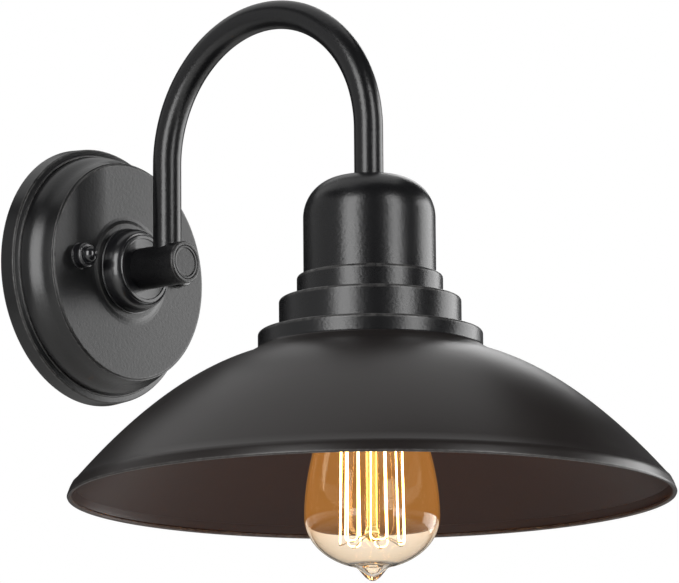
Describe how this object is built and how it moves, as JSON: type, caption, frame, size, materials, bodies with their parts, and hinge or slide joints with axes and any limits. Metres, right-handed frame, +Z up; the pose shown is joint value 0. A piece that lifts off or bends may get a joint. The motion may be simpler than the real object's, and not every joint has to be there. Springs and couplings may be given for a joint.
{
  "type": "outdoor wall lantern",
  "caption": "Outdoor wall lantern: round stepped wall canopy, gooseneck arm, domed cup and a wide spun shade over a filament lamp.",
  "frame": {"origin": "centre of the canopy on the wall plane", "axes": "+Y into the wall, +Z up, the lantern stands out along -Y"},
  "size_m": [0.288, 0.3264, 0.2904],
  "materials": {
    "satin_black": "satin black powder coat",
    "gloss_black": "gloss black enamel",
    "foam_rubber": "closed-cell foam",
    "seal_rubber": "silicone rubber",
    "zinc_steel": "zinc plated",
    "green_screw": "green-dyed zinc plate",
    "nipple_brass": "plain brass",
    "contact_brass": "stamped brass",
    "porcelain": null,
    "black_insulation": "fibreglass-sleeved lead",
    "white_insulation": "fibreglass-sleeved lead",
    "green_insulation": "plastic-sleeved lead",
    "copper": null,
    "amber_glass": "clear amber glass",
    "stem_glass": "clear glass",
    "base_brass": "rolled brass thread",
    "vitrite": "black fused glass",
    "solder": "dull solder",
    "nickel_wire": "plain wire",
    "glowing_thread": "glowing carbon thread"
  },
  "bodies": {
    "lantern": {"wall_gasket": "foam_rubber", "mounting_bracket": "zinc_steel", "ground_screw": "green_screw", "canopy_studs": "zinc_steel", "stud_lock_nuts": "zinc_steel", "canopy": "satin_black", "cap_nut_washers": "seal_rubber", "hub_collar": "gloss_black", "arm_stub": "satin_black", "arm_end_plug": "satin_black", "arm_nipple": "nipple_brass", "arm_lock_washer": "zinc_steel", "arm_lock_nut": "zinc_steel", "arm_set_screw": "gloss_black", "gooseneck": "satin_black", "head_seal": "seal_rubber", "head_nipple": "nipple_brass", "head_washer": "zinc_steel", "head_nuts": "zinc_steel", "socket_cup": "satin_black", "yoke": "zinc_steel", "shade_crown": "satin_black", "shade_step": "satin_black", "shade": "satin_black", "shade_screws": "zinc_steel", "socket_body": "porcelain", "socket_spacers": "zinc_steel", "socket_screws": "zinc_steel", "screw_shell": "contact_brass", "terminal_plates": "contact_brass", "terminal_screws": "contact_brass", "earth_screw": "green_screw", "live_lead": "black_insulation", "neutral_lead": "white_insulation", "earth_lead": "green_insulation", "lead_ends": "copper"},
    "bulb": {"bulb_glass": "amber_glass", "bulb_base": "base_brass", "base_insulator": "vitrite", "base_contact": "solder", "glass_stem": "stem_glass", "lead_in_wires": "nickel_wire", "filament_supports": "nickel_wire", "filament": "glowing_thread"},
    "left_cap_nut": {"cap_nut_left": "gloss_black"},
    "right_cap_nut": {"cap_nut_right": "gloss_black"},
    "contact_tongue": {"centre_contact": "contact_brass"}
  },
  "joints": [
    {"name": "bulb_withdrawal", "type": "slide", "parent": "lantern", "child": "bulb", "axis": [0, 0, -1], "range_m": [0, 0.12]},
    {"name": "left_cap_nut_turn", "type": "hinge", "parent": "lantern", "child": "left_cap_nut", "pos_m": [-0.03492, -0.03, 0.003], "axis": [0, -1, 0], "continuous": true},
    {"name": "right_cap_nut_turn", "type": "hinge", "parent": "lantern", "child": "right_cap_nut", "pos_m": [0.03492, -0.03, 0.003], "axis": [0, -1, 0], "continuous": true},
    {"name": "contact_tongue_press", "type": "slide", "parent": "lantern", "child": "contact_tongue", "axis": [0, 0, 1], "range_m": [0, 0.001], "stiffness_N_per_m": 1500}
  ]
}
